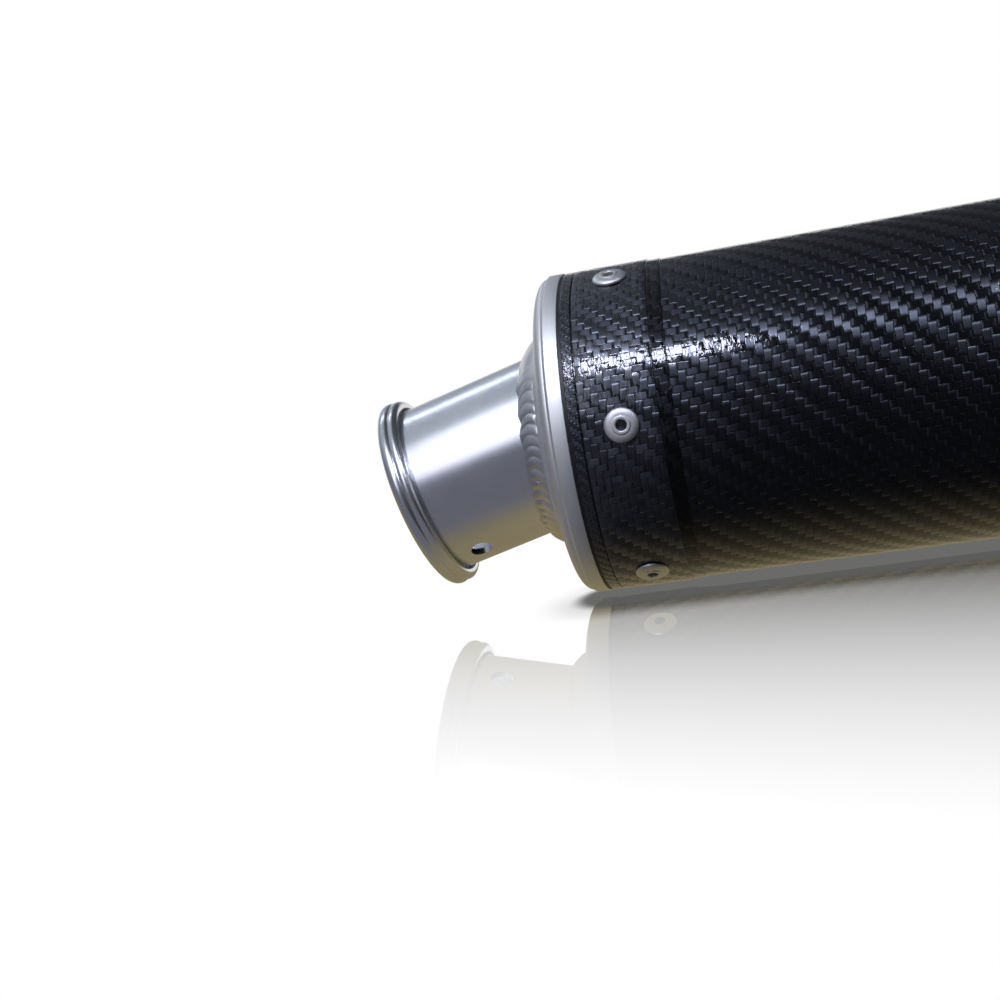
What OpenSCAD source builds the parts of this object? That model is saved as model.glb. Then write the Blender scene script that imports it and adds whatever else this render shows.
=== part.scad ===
// Slip-on motorcycle muffler: a carbon can between two turned aluminium caps, with a turned-down
// outlet that ends in a rolled lip, a slotted inlet socket, and a rubber-lined mounting strap.
// The can lies along X. The origin is the centre of the inlet socket's mouth, the outlet is
// towards -X and turns down towards -Z.

/* [Can] */
// Outer diameter of the carbon sleeve
sleeve_d = 95; // [80:1:115]
// Wall of the carbon sleeve
sleeve_wall = 1.6; // [1.2:0.1:2.4]
// Length of the carbon sleeve
sleeve_l = 300; // [200:5:400]
// Width of the carbon band wound over each end of the sleeve
band_w = 24.3; // [22:0.1:36]
// Thickness of that band
band_wall = 0.6; // [0.4:0.1:1.2]
// Width of the band's lowest ply that shows beyond its top ply
band_step_w = 3.8; // [2:0.1:6]
// Thickness of that lowest ply
band_step_wall = 0.25; // [0.2:0.05:0.35]

/* [Caps] */
// Width of the bare rim that shows outside the sleeve
rim_w = 4.6; // [3:0.1:8]
// Width of the black sealant joint between rim and sleeve
seal_w = 0.9; // [0.5:0.1:2]
// Depth of that joint under the rim's edge
seal_recess = 0.3; // [0.1:0.1:0.6]
// Wall of the turned caps
cap_wall = 2.5; // [2:0.1:4]
// Length of the spigot inside the sleeve
spigot_l = 24; // [20:0.5:36]
// Rise of the cap's rounded shoulder in front of the rim
shoulder_h = 3; // [2:0.1:5]
// Radial depth of that shoulder
shoulder_w = 4.7; // [3:0.1:8]
// Slope of the cap's face, in degrees
face_slope = 15; // [8:1:25]

/* [Outlet] */
// Outer diameter of the outlet pipe
outlet_d = 52; // [40:1:58]
// Wall of the outlet pipe
outlet_wall = 2; // [1.5:0.1:3]
// Angle that the outlet turns down from the can's axis
outlet_turn = 14; // [0:1:18]
// Length from where the two axes cross to the outlet's mouth
outlet_reach = 47.7; // [40:0.1:90]
// Width of the rolled lip along the pipe
lip_w = 6.7; // [5:0.1:9]
// Height of the rolled lip over the pipe
lip_h = 4; // [3:0.1:5]
// Diameter of the hole for the baffle's screw
screw_hole_d = 6.6; // [5:0.1:9]
// Distance of that hole from the outlet's mouth
screw_hole_back = 14.9; // [12:0.1:20]
// Angle of that hole round the pipe, from straight down
screw_hole_turn = 30; // [0:5:60]

/* [Inlet] */
// Bore of the inlet socket
inlet_bore_d = 51; // [38:0.5:56]
// Wall of the inlet socket
inlet_wall = 1.5; // [1.2:0.1:2.5]
// Length of the socket in front of its cap
inlet_reach = 55; // [45:1:90]
// Number of slots that let the socket close
slot_count = 4; // [2:1:6]
// Width of each slot
slot_w = 3; // [2:0.5:4]
// Length of each slot
slot_l = 26; // [20:1:40]

/* [Rivets] */
// Number of rivets in each cap
rivet_count = 6; // [4:1:8]
// Diameter of a rivet's body
rivet_d = 4.8; // [4:0.1:5]
// Diameter of a rivet's head
rivet_head_d = 9.5; // [8:0.1:11]
// Height of a rivet's head
rivet_head_h = 1.6; // [1.2:0.1:2]
// Diameter of the mandrel hole in a rivet
mandrel_d = 3; // [2.4:0.1:3]
// Distance of the rivets from the sleeve's end
rivet_inset = 14; // [11:0.5:18]

/* [Core] */
// Outer diameter of the perforated core tube
core_d = 50.8; // [38:0.1:52]
// Wall of the core tube
core_wall = 1.2; // [1:0.1:2]
// Diameter of the core's perforations
perforation_d = 6; // [4:0.5:7]
// Perforations round the core, in each row
perforations_round = 12; // [8:2:14]
// Spacing of the rows of perforations
perforation_pitch = 13; // [11:0.5:20]
// Thickness of the steel wool round the core
wool_t = 3.5; // [2:0.5:6]
// Thickness of the plates that carry the core
plate_t = 1.5; // [1:0.1:2.5]
// Length of the collar on each plate
collar_l = 12; // [8:1:18]

/* [Mounting strap] */
// Width of the strap
strap_w = 30; // [20:1:40]
// Thickness of the strap
strap_t = 2; // [1.5:0.1:3]
// Gap between the strap's ears
strap_gap = 8; // [6:0.5:12]
// Distance of the strap's middle from the sleeve's outlet end
strap_x = 205; // [150:5:230]
// Thickness of the rubber liner
liner_t = 1.5; // [1:0.1:3]
// Width of the liner's lips beside the strap
liner_lip_w = 2; // [1.5:0.1:3]
// Height of the pinch bolt over the strap's ring
pinch_h = 10; // [9:0.5:14]
// Distance from the pinch bolt to the hanger hole
hanger_pitch = 14; // [13:0.5:20]
// Diameter of the hanger hole
hanger_hole_d = 8.5; // [6.5:0.1:10.5]

/* [Inlet clamp] */
// Width of the clamp's band
clamp_w = 18; // [14:1:24]
// Thickness of the clamp's band
clamp_t = 1.4; // [1:0.1:2]
// Gap between the clamp's ears
clamp_gap = 9; // [6:0.5:12]
// Distance of the clamp's middle from the inlet's mouth
clamp_x = 13; // [12:0.5:16]

/* [Bolts] */
// Diameter of both clamp bolts
bolt_d = 6; // [5:1:6]
// Size of their hexagons across the flats
hex_af = 10; // [8:1:10]

/* [Hidden] */
$fn = 96;

// Clearances: a bonded joint, a part that turns or slides, a bolt in its hole, and a cut's overrun
bond_gap = 0.05;
run_gap = 0.1;
bolt_gap = 0.3;
over = 1;

// Radii that follow from the sleeve
sleeve_r = sleeve_d / 2;
sleeve_ir = sleeve_r - sleeve_wall;
band_r = sleeve_r + band_wall;
spigot_r = sleeve_ir - bond_gap;
spigot_ir = spigot_r - cap_wall;
chamfer = 0.7;

// Distances from the sleeve's end, outwards
rim_back = seal_w;
rim_front = seal_w + rim_w;
shoulder_r = band_r - chamfer - shoulder_w;
shoulder_top = rim_front + shoulder_h;
plate_back = -plate_t - 1.5;
plate_front = -1.5;

// Places along X
inlet_end_x = -inlet_reach - face_at(inlet_bore_d / 2 + inlet_wall);
outlet_end_x = inlet_end_x - sleeve_l;
axis_cross = 10.3;

// Outlet pipe and its rolled lip
outlet_r = outlet_d / 2;
outlet_ir = outlet_r - outlet_wall;
front_bead_r = lip_w * 0.33;
rear_bead_r = lip_w * 0.27;
lip_r = outlet_r + lip_h;
weld_leg = 4.2;
weld_rise = 1.1;

// Inlet socket
inlet_ir = inlet_bore_d / 2;
inlet_r = inlet_ir + inlet_wall;

// Rivets
rivet_r = rivet_d / 2;
mandrel_r = mandrel_d / 2;
rivet_grip = band_wall + sleeve_wall + bond_gap + cap_wall;
tail_r = rivet_r * 1.4;
tail_l = 3;
// The spigot's bore falls away from a tail's flat seat by this much at the tail's edge
tail_seat = rivet_grip + bond_gap + spigot_ir - sqrt(pow(spigot_ir, 2) - pow(tail_r, 2));
mandrel_head_l = 1.4;

// Core and packing
core_r = core_d / 2;
core_ir = core_r - core_wall;
core_end = plate_back - 1;
core_l = sleeve_l + 2 * core_end;
packing_l = sleeve_l - 2 * spigot_l - 2;
collar_wall = 1.5;
wool_l = min(packing_l, sleeve_l + 2 * (plate_back - collar_l) - 2);
perforated_rows = floor((wool_l - 2 * perforation_d) / perforation_pitch) + 1;

// Strap, clamp and bolts
liner_r = sleeve_r + liner_t;
strap_ir = liner_r + run_gap;
strap_r = strap_ir + strap_t;
clamp_ir = inlet_r + run_gap;
clamp_r = clamp_ir + clamp_t;
hanger_z = strap_r + pinch_h + hanger_pitch;
bolt_r = bolt_d / 2;
washer_r = bolt_d;
washer_t = bolt_d * 0.27;
head_h = bolt_d * 0.67;
nut_h = bolt_d * 0.83;
clamp_pinch_h = washer_r + 2.5;

carbon = [0.09, 0.09, 0.1];
aluminium = [0.8, 0.81, 0.83];
steel = [0.62, 0.62, 0.64];
rubber = [0.06, 0.06, 0.06];

// Distance from the sleeve's end to the cap's outer face at radius r
function face_at(r) = rim_front + shoulder_h + (shoulder_r - r) * tan(face_slope);

// Points of an arc round c, from angle a to angle b, in n steps
function arc(c, r, a, b, n = 12) =
    [for (i = [0:n]) let (t = a + (b - a) * i / n) c + r * [cos(t), sin(t)]];

// Turns a profile of [radius, distance outwards] points about the can's axis, at either end
module at_outlet() translate([outlet_end_x, 0, 0]) rotate([0, -90, 0]) children();
module at_inlet() translate([inlet_end_x, 0, 0]) rotate([0, 90, 0]) children();
module along_outlet()
    translate([outlet_end_x - axis_cross, 0, 0]) rotate([0, -90 - outlet_turn, 0]) children();

module tube(r, ir, from, to) {
    translate([0, 0, from])
        difference() {
            cylinder(h = to - from, r = r);
            translate([0, 0, -over]) cylinder(h = to - from + 2 * over, r = ir);
        }
}

// Lays its children at each rivet's place: Z points out of the can, 0 is the band's surface
module at_rivets() {
    for (i = [0:rivet_count - 1])
        rotate([0, 0, 90 + 360 * i / rivet_count])
            translate([band_r, 0, -rivet_inset]) rotate([0, 90, 0]) children();
}

module rivet_holes() {
    at_rivets() translate([0, 0, -rivet_grip - over]) cylinder(h = rivet_grip + 2 * over, r = rivet_r + bond_gap);
}

// The carbon can

module carbon_sleeve() color(carbon)
    difference() {
        at_inlet() tube(sleeve_r, sleeve_ir, -sleeve_l, 0);
        at_outlet() rivet_holes();
        at_inlet() rivet_holes();
    }

// A hoop of two plies: the lowest one reaches a little further than the top one
module band() {
    difference() {
        rotate_extrude()
            polygon([
                [sleeve_r, 0], [band_r, 0], [band_r, -band_w],
                [sleeve_r + band_step_wall, -band_w],
                [sleeve_r + band_step_wall, -band_w - band_step_w],
                [sleeve_r, -band_w - band_step_w]
            ]);
        rivet_holes();
    }
}

module outlet_band() color(carbon) at_outlet() band();
module inlet_band() color(carbon) at_inlet() band();

module seal() tube(band_r - seal_recess, spigot_r, 0, seal_w);
module outlet_seal() color(rubber) at_outlet() seal();
module inlet_seal() color(rubber) at_inlet() seal();

// The caps: a spigot inside the sleeve, a bare rim, a rounded shoulder and a coned face
module cap(hole_r) {
    shoulder = [for (i = [0:8]) let (t = 90 * i / 8)
        [band_r - chamfer - shoulder_w * (1 - cos(t)), rim_front + shoulder_h * sin(t)]];
    inner_r = spigot_ir - 2;
    inner_top = rim_front - 0.5;
    difference() {
        rotate_extrude()
            polygon(concat(
                [[spigot_ir, -spigot_l], [spigot_r, -spigot_l], [spigot_r, rim_back],
                 [band_r, rim_back], [band_r, rim_front - chamfer]],
                shoulder,
                [[hole_r - over, face_at(hole_r - over)],
                 [hole_r - over, face_at(hole_r - over) - cap_wall],
                 [inner_r, inner_top], [inner_r, plate_front], [spigot_ir, plate_front]]
            ));
        rivet_holes();
    }
}

module outlet_cap() color(aluminium)
    difference() {
        at_outlet() cap(outlet_r);
        along_outlet() translate([0, 0, -outlet_d]) cylinder(h = 2 * outlet_d, r = outlet_r + bond_gap);
    }

module inlet_cap() color(aluminium)
    difference() {
        at_inlet() cap(inlet_r);
        at_inlet() translate([0, 0, -over]) cylinder(h = inlet_reach, r = inlet_r + bond_gap);
    }

// The outlet: an oblique pipe whose mouth is rolled outwards into a double bead

module outlet_pipe() {
    front = outlet_reach - front_bead_r;
    rear = outlet_reach - lip_w + rear_bead_r;
    flare = lip_r - front_bead_r - outlet_ir;
    mouth = arc([outlet_ir + flare, outlet_reach - flare], flare, 180, 90);
    front_bead = arc([lip_r - front_bead_r, front], front_bead_r, 90, -33);
    rear_bead = arc([lip_r - rear_bead_r - 0.2, rear], rear_bead_r, 45, -110);
    under_lip = outlet_reach - lip_w + 2 * rear_bead_r;
    color(aluminium)
        difference() {
            along_outlet()
                difference() {
                    rotate_extrude()
                        polygon(concat(
                            [[outlet_ir, -outlet_r]], mouth, front_bead, rear_bead,
                            [[outlet_r, under_lip], [outlet_r, -outlet_r]]
                        ));
                    rotate([0, 0, screw_hole_turn])
                        translate([0, 0, outlet_reach - screw_hole_back]) rotate([0, -90, 0])
                            cylinder(h = outlet_d, r = screw_hole_d / 2);
                }
            at_outlet() translate([0, 0, -outlet_d]) cylinder(h = outlet_d + axis_cross - over, r = outlet_d);
        }
}

// Fillet welds: a rounded bead in the corner between a pipe and its cap's face
module weld_bead(r) {
    foot = face_at(r + weld_leg);
    crown = face_at(r) + weld_leg;
    rotate_extrude()
        polygon([
            [r - over, foot - over], [r + weld_leg, foot - over], [r + weld_leg, foot],
            [r + weld_leg * 0.55 + weld_rise * 0.5, (foot + crown) / 2 - weld_rise * 0.4],
            [r + weld_rise * 0.8, crown - weld_rise * 0.9], [r, crown], [r - over, crown]
        ]);
}

module outlet_weld() color(aluminium)
    difference() {
        translate([0, 0, -(face_at(outlet_r) - axis_cross + weld_leg / 2) * tan(outlet_turn)])
            at_outlet() weld_bead(outlet_r);
        along_outlet() translate([0, 0, -outlet_d]) cylinder(h = 2 * outlet_d, r = outlet_r + bond_gap);
        at_outlet() cap(outlet_r);
        at_outlet() translate([0, 0, -over]) cylinder(h = rim_front + over, r = sleeve_r);
    }

module inlet_weld() color(steel)
    difference() {
        at_inlet() weld_bead(inlet_r);
        at_inlet() cylinder(h = inlet_reach, r = inlet_r + bond_gap);
        at_inlet() cap(inlet_r);
    }

// The inlet socket: a plain tube, slotted at its mouth so that the clamp can close it
module inlet_pipe() color(steel)
    difference() {
        rotate([0, -90, 0]) tube(inlet_r, inlet_ir, 0, inlet_reach + cap_wall + over);
        for (i = [0:slot_count - 1])
            rotate([45 + 360 * i / slot_count, 0, 0]) {
                translate([-slot_l, -slot_w / 2, 0]) cube([slot_l + over, slot_w, inlet_r + over]);
                translate([-slot_l, 0, 0]) cylinder(h = inlet_r + over, r = slot_w * 0.75);
            }
    }

// Blind rivets: a domed, hollow body that grips band, sleeve and spigot, and its mandrel's stub
module rivet_body() {
    edge = rivet_head_h * 0.3;
    head_r = rivet_head_d / 2;
    lip = mandrel_r + 0.7;
    dome = [for (i = [0:6]) let (t = i / 6)
        [head_r - (head_r - lip) * t, edge + (rivet_head_h - edge) * sin(90 * t)]];
    rotate_extrude()
        polygon(concat(
            [[mandrel_r, -rivet_grip - tail_l], [rivet_r, -rivet_grip - tail_l],
             [tail_r, -rivet_grip - tail_l * 0.7], [tail_r, -tail_seat],
             [rivet_r, -tail_seat], [rivet_r, 0], [head_r, 0]],
            dome,
            [[mandrel_r, rivet_head_h - 0.25]]
        ));
}

module mandrel() {
    translate([0, 0, -rivet_grip - tail_l])
        cylinder(h = rivet_grip + tail_l - rivet_head_h, r = mandrel_r - bond_gap);
    translate([0, 0, -rivet_grip - tail_l - bond_gap - mandrel_head_l])
        cylinder(h = mandrel_head_l, r = mandrel_r * 1.5);
    translate([0, 0, -rivet_grip - tail_l - bond_gap])
        cylinder(h = 2 * bond_gap, r = mandrel_r - bond_gap);
}

module outlet_rivets() color(aluminium) at_outlet() at_rivets() rivet_body();
module inlet_rivets() color(aluminium) at_inlet() at_rivets() rivet_body();
module outlet_rivet_mandrels() color(steel) at_outlet() at_rivets() mandrel();
module inlet_rivet_mandrels() color(steel) at_inlet() at_rivets() mandrel();

// The core: a perforated tube carried by a flanged plate in each cap, wrapped in wool and fibre

module core_tube() color(steel)
    at_inlet()
        difference() {
            tube(core_r, core_ir, core_end - core_l, core_end);
            translate([0, 0, -sleeve_l / 2 - perforation_pitch * (perforated_rows - 1) / 2])
                for (row = [0:perforated_rows - 1], i = [0:perforations_round - 1])
                    rotate([0, 0, (i + 0.5 * (row % 2)) * 360 / perforations_round])
                        translate([core_ir - over, 0, row * perforation_pitch])
                            rotate([0, 90, 0]) cylinder(h = core_wall + 2 * over, r = perforation_d / 2);
        }

module core_plate() {
    collar_r = core_r + run_gap / 2;
    difference() {
        union() {
            translate([0, 0, plate_back]) cylinder(h = plate_t, r = spigot_ir - bond_gap);
            translate([0, 0, plate_back - collar_l]) cylinder(h = collar_l + plate_t, r = collar_r + collar_wall);
        }
        translate([0, 0, plate_back - collar_l - over]) cylinder(h = collar_l + plate_t + 2 * over, r = collar_r);
    }
}

module outlet_core_plate() color(steel) at_outlet() core_plate();
module inlet_core_plate() color(steel) at_inlet() core_plate();

module steel_wool() color(steel)
    at_inlet() tube(core_r + wool_t, core_r + run_gap / 2, -(sleeve_l + wool_l) / 2, -(sleeve_l - wool_l) / 2);

module fibre_packing() color([0.86, 0.84, 0.76])
    at_inlet()
        tube(sleeve_ir - run_gap, core_r + wool_t + run_gap, -(sleeve_l + packing_l) / 2, -(sleeve_l - packing_l) / 2);

// Band clamps: a ring with two ears, drawn across X; the ears stand along Z

// Fills the corner between a ring of radius r and an upright face at distance v from the middle
module ear_fillet(r, v, fillet) {
    centre_z = sqrt(pow(r + fillet, 2) - pow(v + fillet, 2));
    foot = [v + fillet, centre_z] * r / (r + fillet);
    difference() {
        polygon([[v - 0.2, foot[1] - 0.5], [v - 0.2, centre_z], [v + fillet, centre_z], foot, foot - [0, 0.5]]);
        translate([v + fillet, centre_z]) circle(r = fillet);
    }
}

// A tab that stays w wide up to height root, then narrows to a round end of radius tip_r at z
module ear(w, foot, root, z, tip_r) {
    translate([-w / 2, foot]) square([w, root - foot]);
    polygon([[-w / 2, root - 0.1], [-w / 2, root], [-tip_r, z], [tip_r, z], [w / 2, root], [w / 2, root - 0.1]]);
    translate([0, z]) circle(r = tip_r);
}

module clamp_ring(ir, t, w, gap, root, ear_z, tip_r, fillet) {
    r = ir + t;
    difference() {
        rotate([0, 90, 0]) tube(r, ir, -w / 2, w / 2);
        translate([-w, -gap / 2, 0]) cube([2 * w, gap, r + over]);
    }
    for (side = [0, 1]) mirror([0, side, 0]) {
        translate([0, gap / 2 + t, 0]) rotate([90, 0, 0])
            linear_extrude(height = t) ear(w, ir + 0.3 * t, r + root, ear_z, tip_r);
        rotate([90, 0, 90]) linear_extrude(height = w, center = true) ear_fillet(r, gap / 2 + t, fillet);
    }
}

module bolt_hole(z, d) translate([0, 0, z]) rotate([90, 0, 0]) cylinder(h = 8 * bolt_d, r = d / 2, center = true);

// Lays its children on a bolt's axis, at the outer face of an ear: Z points out of the ear
module at_ear(z, half, side) translate([0, side * half, z]) rotate([-side * 90, 0, 0]) children();

module washers(z, half) {
    for (side = [-1, 1]) at_ear(z, half, side) tube(washer_r, bolt_r + bolt_gap / 2, 0, washer_t);
}

module hex_bolt(z, half) {
    seat = washer_t + run_gap / 2;
    at_ear(z, half, -1) {
        translate([0, 0, seat]) cylinder(h = head_h, r = hex_af / sqrt(3), $fn = 6);
        translate([0, 0, -2 * half - washer_t - nut_h - bolt_d / 2])
            cylinder(h = 2 * half + washer_t + nut_h + bolt_d / 2 + seat + over, r = bolt_r);
    }
}

module hex_nut(z, half) at_ear(z, half, 1)
    translate([0, 0, washer_t])
        difference() {
            cylinder(h = nut_h, r = hex_af / sqrt(3), $fn = 6);
            translate([0, 0, -over]) cylinder(h = nut_h + 2 * over, r = bolt_r + bond_gap);
        }

// The mounting strap on its rubber liner
strap_half = strap_gap / 2 + strap_t;
pinch_z = strap_r + pinch_h;
tip_r = hanger_hole_d / 2 + 6.5;

module at_strap() translate([outlet_end_x + strap_x, 0, 0]) children();

module strap_liner() color(rubber)
    at_strap()
        difference() {
            rotate([0, 90, 0])
                rotate_extrude()
                    let (flat = strap_w / 2 + run_gap, edge = flat + liner_lip_w, high = liner_r + 0.8 * strap_t)
                        polygon([
                            [sleeve_r + run_gap, -edge], [sleeve_r + run_gap, edge], [high, edge], [high, flat],
                            [liner_r, flat], [liner_r, -flat], [high, -flat], [high, -edge]
                        ]);
            translate([-strap_w, -strap_gap / 2, 0]) cube([2 * strap_w, strap_gap, strap_r + over]);
        }

module mount_strap() color(aluminium)
    at_strap()
        difference() {
            clamp_ring(strap_ir, strap_t, strap_w, strap_gap, 4, hanger_z, tip_r, 4);
            bolt_hole(pinch_z, bolt_d + bolt_gap);
            bolt_hole(hanger_z, hanger_hole_d);
        }

module strap_bolt() color(steel) at_strap() hex_bolt(pinch_z, strap_half);
module strap_nut() color(steel) at_strap() hex_nut(pinch_z, strap_half);
module strap_washers() color(steel) at_strap() washers(pinch_z, strap_half);

// The clamp on the inlet socket
clamp_half = clamp_gap / 2 + clamp_t;
clamp_z = clamp_r + clamp_pinch_h;

module at_clamp() translate([-clamp_x, 0, 0]) children();

module clamp_band() color(steel)
    at_clamp()
        difference() {
            clamp_ring(clamp_ir, clamp_t, clamp_w, clamp_gap, 3, clamp_z, washer_r + 1, 2.5);
            bolt_hole(clamp_z, bolt_d + bolt_gap);
        }

module clamp_bolt() color(steel) at_clamp() hex_bolt(clamp_z, clamp_half);
module clamp_nut() color(steel) at_clamp() hex_nut(clamp_z, clamp_half);
module clamp_washers() color(steel) at_clamp() washers(clamp_z, clamp_half);

carbon_sleeve();
outlet_band();
inlet_band();
outlet_cap();
inlet_cap();
outlet_seal();
inlet_seal();
outlet_pipe();
outlet_weld();
inlet_pipe();
inlet_weld();
outlet_rivets();
outlet_rivet_mandrels();
inlet_rivets();
inlet_rivet_mandrels();
core_tube();
outlet_core_plate();
inlet_core_plate();
steel_wool();
fibre_packing();
strap_liner();
mount_strap();
strap_bolt();
strap_nut();
strap_washers();
clamp_band();
clamp_bolt();
clamp_nut();
clamp_washers();
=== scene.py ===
"""Looks of a carbon slip-on muffler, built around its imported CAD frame.

Lengths in the classes below are millimetres, because that is how the parts are drawn. ``MM`` turns
them to metres where a mesh is made. The can lies along X with its outlet towards -X.
"""
import logging
import math
from dataclasses import dataclass, field
from enum import Enum
from typing import Optional, Sequence, Union

import bmesh
import bpy
import numpy as np
from mathutils import Matrix, Vector


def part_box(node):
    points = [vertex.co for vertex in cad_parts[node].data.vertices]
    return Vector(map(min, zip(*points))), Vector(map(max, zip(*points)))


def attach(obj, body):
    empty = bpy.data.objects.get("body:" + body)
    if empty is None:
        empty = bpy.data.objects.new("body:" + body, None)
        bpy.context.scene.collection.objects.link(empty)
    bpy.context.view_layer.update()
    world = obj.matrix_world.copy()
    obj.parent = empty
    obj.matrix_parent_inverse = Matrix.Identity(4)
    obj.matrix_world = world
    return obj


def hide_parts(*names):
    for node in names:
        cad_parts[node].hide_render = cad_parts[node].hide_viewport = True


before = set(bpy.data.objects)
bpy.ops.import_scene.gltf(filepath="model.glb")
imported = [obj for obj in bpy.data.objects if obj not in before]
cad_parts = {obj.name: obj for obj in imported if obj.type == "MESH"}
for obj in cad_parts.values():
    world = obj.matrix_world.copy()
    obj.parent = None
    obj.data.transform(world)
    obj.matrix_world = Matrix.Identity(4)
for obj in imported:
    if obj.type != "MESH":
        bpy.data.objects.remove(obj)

LOG = logging.getLogger("muffler")
MM = 0.001
TURN = 2.0 * math.pi

Array = np.ndarray
Socket = bpy.types.NodeSocket
Value = Union[float, Sequence[float], Socket]


# ---- Colours and node graphs ----


def linear(hex_colour: str) -> tuple[float, float, float, float]:
    """Turn an sRGB hex colour to linear RGBA.

    Args:
        hex_colour: six hex digits, such as "c8ccd2".

    Returns:
        Linear red, green and blue, with an alpha of 1.
    """
    srgb = np.array([int(hex_colour[i:i + 2], 16) / 255.0 for i in (0, 2, 4)])
    rgb = np.where(srgb <= 0.04045, srgb / 12.92, ((srgb + 0.055) / 1.055) ** 2.4)
    return (float(rgb[0]), float(rgb[1]), float(rgb[2]), 1.0)


def wire(tree: bpy.types.NodeTree, node: bpy.types.Node, values: dict) -> None:
    """Link or set a node's inputs, by name or index."""
    for name, value in values.items():
        if isinstance(value, bpy.types.NodeSocket):
            tree.links.new(value, node.inputs[name])
        else:
            node.inputs[name].default_value = value


def add(tree: bpy.types.NodeTree, kind: str, links: Optional[dict] = None,
        **settings: object) -> bpy.types.Node:
    """Add a node with its settings, and link or set its inputs.

    Args:
        tree: the node tree.
        kind: the node's type name, without "ShaderNode".
        links: input name or index to a socket to link, or to a value to set.
        settings: properties of the node itself, such as operation.

    Returns:
        The new node.
    """
    node = tree.nodes.new("ShaderNode" + kind)
    for name, value in settings.items():
        setattr(node, name, value)
    wire(tree, node, links or {})
    return node


class Graph:
    """Arithmetic on sockets, so that a pattern reads as its formula."""

    def __init__(self, tree: bpy.types.NodeTree) -> None:
        """Keep the tree that the nodes go into."""
        self.tree = tree

    def op(self, operation: str, *values: Value, clamp: bool = False) -> Socket:
        """Apply one math operation.

        Args:
            operation: a Math node's operation.
            values: its inputs, as sockets or numbers.
            clamp: whether to hold the result between 0 and 1.

        Returns:
            The result's socket.
        """
        links = dict(enumerate(values))
        return add(self.tree, "Math", links, operation=operation, use_clamp=clamp).outputs[0]

    def smooth(self, value: Socket, low: float, high: float, start: float = 0.0,
               end: float = 1.0) -> Socket:
        """Map low..high to start..end along a smooth step, held at both ends."""
        links = {"Value": value, "From Min": low, "From Max": high, "To Min": start, "To Max": end}
        return add(self.tree, "MapRange", links, interpolation_type="SMOOTHSTEP").outputs[0]

    def blend(self, factor: Value, first: Value, second: Value, mode: str = "MIX") -> Socket:
        """Mix two colours.

        Args:
            factor: share of the second colour.
            first: colour at 0.
            second: colour at 1.
            mode: the mix's blend type.

        Returns:
            The mixed colour's socket.
        """
        node = add(self.tree, "Mix", {0: factor, 6: first, 7: second}, data_type="RGBA", blend_type=mode)
        return node.outputs[2]

    def noise(self, vector: Socket, scale: float, detail: float = 2.0, rough: float = 0.5) -> Socket:
        """Fractal noise between about 0.2 and 0.8, with scale features per unit of vector."""
        links = {"Vector": vector, "Scale": scale, "Detail": detail, "Roughness": rough}
        return add(self.tree, "TexNoise", links).outputs[0]

    def stretch(self, vector: Socket, scale: Sequence[float]) -> Socket:
        """Scale a vector by a different factor along each axis."""
        return add(self.tree, "VectorMath", {0: vector, 1: tuple(scale)}, operation="MULTIPLY").outputs[0]

    def bump(self, height: Socket, distance: float) -> Socket:
        """Tilt the normal by a height pattern, where a height of 1 stands for distance in metres."""
        return add(self.tree, "Bump", {"Height": height, "Distance": distance}).outputs[0]


def blank_material(name: str) -> tuple[bpy.types.Material, Graph]:
    """Make a material without nodes, and its graph."""
    material = bpy.data.materials.new(name)
    material.use_nodes = True
    material.node_tree.nodes.clear()
    return material, Graph(material.node_tree)


def new_material(name: str) -> tuple[bpy.types.Material, Graph, bpy.types.Node]:
    """Make a material with a principled shader.

    Args:
        name: the material's name.

    Returns:
        The material, its graph, and its principled shader.
    """
    material, graph = blank_material(name)
    shader = add(graph.tree, "BsdfPrincipled")
    add(graph.tree, "OutputMaterial", {"Surface": shader.outputs[0]})
    return material, graph, shader


# ---- Finishes ----

TOW = 2.07                     # width of one carbon tow of 3000 filaments
TOWS_ROUND = 144               # tows round the can, a multiple of the weave's four


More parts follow.
